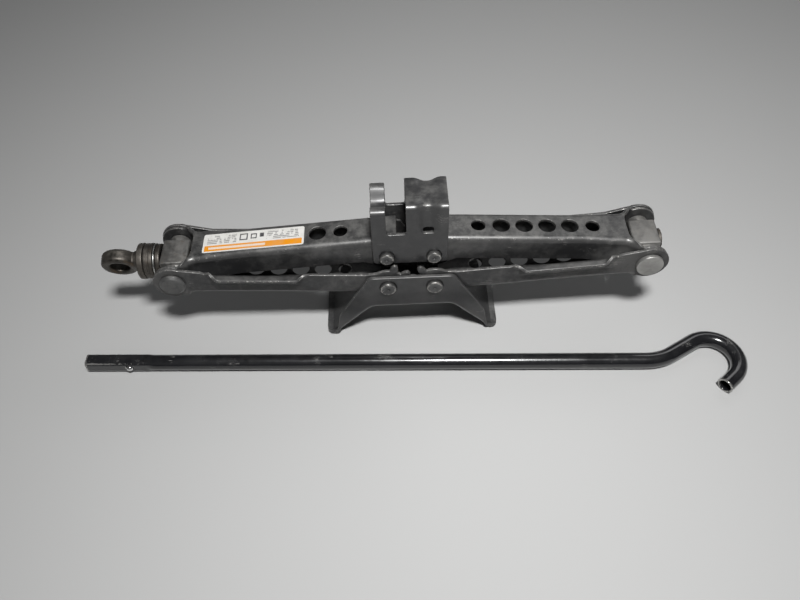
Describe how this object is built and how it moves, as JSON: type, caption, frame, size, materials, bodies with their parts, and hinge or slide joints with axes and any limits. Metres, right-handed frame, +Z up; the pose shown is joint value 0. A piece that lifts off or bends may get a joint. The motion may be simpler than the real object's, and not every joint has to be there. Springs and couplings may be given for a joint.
{
  "type": "car jack",
  "caption": "Scissor car jack, closed, with channel arms, geared pivots, a lead screw with an eye, a notched saddle, a splayed base and a hooked crank handle.",
  "frame": {"origin": "on the floor, under the middle of the box round the closed jack and its handle", "axes": "+X along the screw from its eye to the nut, +Y from the handle's side to the far side, +Z up"},
  "size_m": [0.5252, 0.1344, 0.1313],
  "materials": {
    "arm_paint": "semi-gloss black enamel, worn",
    "bracket_paint": "semi-gloss black enamel",
    "rivet_steel": "dull steel",
    "block_steel": "sintered steel, matte",
    "phosphate_steel": "phosphated, dark",
    "zinc_steel": "zinc plated",
    "handle_enamel": "gloss black enamel",
    "polished_steel": "polished",
    "spring_steel": "blued spring steel",
    "label_film": "printed film"
  },
  "bodies": {
    "base": {"base_bracket": "bracket_paint", "base_rivet_left": "bracket_paint", "base_rivet_right": "bracket_paint"},
    "lower_left": {"lower_arm_left": "arm_paint"},
    "lower_right": {"lower_arm_right": "arm_paint"},
    "upper_left": {"upper_arm_left": "arm_paint", "label": "label_film"},
    "upper_right": {"upper_arm_right": "arm_paint"},
    "saddle": {"saddle_bracket": "bracket_paint", "saddle_rivet_left": "bracket_paint", "saddle_rivet_right": "bracket_paint"},
    "trunnion_left": {"trunnion_block_left": "block_steel", "trunnion_rivet_left_front": "rivet_steel", "trunnion_rivet_left_rear": "rivet_steel", "bearing_cup": "phosphate_steel"},
    "trunnion_right": {"trunnion_nut_right": "block_steel", "trunnion_rivet_right_front": "rivet_steel", "trunnion_rivet_right_rear": "rivet_steel"},
    "screw": {"lead_screw": "phosphate_steel", "screw_stop": "phosphate_steel", "bearing_washer": "zinc_steel", "thrust_bearing": "phosphate_steel", "thrust_collar": "phosphate_steel"},
    "handle": {"handle_rod": "handle_enamel", "detent_spring": "spring_steel"},
    "detent_ball": {"detent_ball": "polished_steel"}
  },
  "joints": [
    {"name": "lift", "type": "hinge", "parent": "base", "child": "lower_left", "pos_m": [-0.01669, 0.03589, 0.0582], "axis": [0, 1, 0], "range_deg": [0, 62]},
    {"name": "lower_right_pivot", "type": "hinge", "parent": "base", "child": "lower_right", "pos_m": [0.01931, 0.03589, 0.0582], "axis": [0, 1, 0], "range_deg": [-62, 0]},
    {"name": "left_trunnion_pivot", "type": "hinge", "parent": "lower_left", "child": "trunnion_left", "pos_m": [-0.1813, 0.03589, 0.06957], "axis": [0, 1, 0], "range_deg": [-62, 0]},
    {"name": "right_trunnion_pivot", "type": "hinge", "parent": "lower_right", "child": "trunnion_right", "pos_m": [0.18392, 0.03589, 0.06957], "axis": [0, 1, 0], "range_deg": [0, 62]},
    {"name": "upper_left_pivot", "type": "hinge", "parent": "lower_left", "child": "upper_left", "pos_m": [-0.1813, 0.03589, 0.06957], "axis": [0, 1, 0], "range_deg": [-124, 0]},
    {"name": "upper_right_pivot", "type": "hinge", "parent": "lower_right", "child": "upper_right", "pos_m": [0.18392, 0.03589, 0.06957], "axis": [0, 1, 0], "range_deg": [0, 124]},
    {"name": "saddle_pivot", "type": "hinge", "parent": "upper_left", "child": "saddle", "pos_m": [-0.01669, 0.03589, 0.08093], "axis": [0, 1, 0], "range_deg": [0, 62]},
    {"name": "screw_spin", "type": "hinge", "parent": "trunnion_left", "child": "screw", "pos_m": [-0.1813, 0.03589, 0.06957], "axis": [1, 0, 0], "continuous": true},
    {"name": "handle_lift", "type": "slide", "parent": "base", "child": "handle", "axis": [0, 0, 1], "range_m": [0, 0.15]},
    {"name": "detent_press", "type": "slide", "parent": "handle", "child": "detent_ball", "axis": [0.0469, 0.9989, 0], "range_m": [0, 0.0019], "stiffness_N_per_m": 400, "springref_m": -0.002}
  ],
  "couplings": [
    {"joint": "lower_right_pivot", "follows": "lift", "ratio": -1},
    {"joint": "left_trunnion_pivot", "follows": "lift", "ratio": -1},
    {"joint": "right_trunnion_pivot", "follows": "lift", "ratio": 1},
    {"joint": "upper_left_pivot", "follows": "lift", "ratio": -2},
    {"joint": "upper_right_pivot", "follows": "lift", "ratio": 2},
    {"joint": "saddle_pivot", "follows": "lift", "ratio": 1}
  ]
}
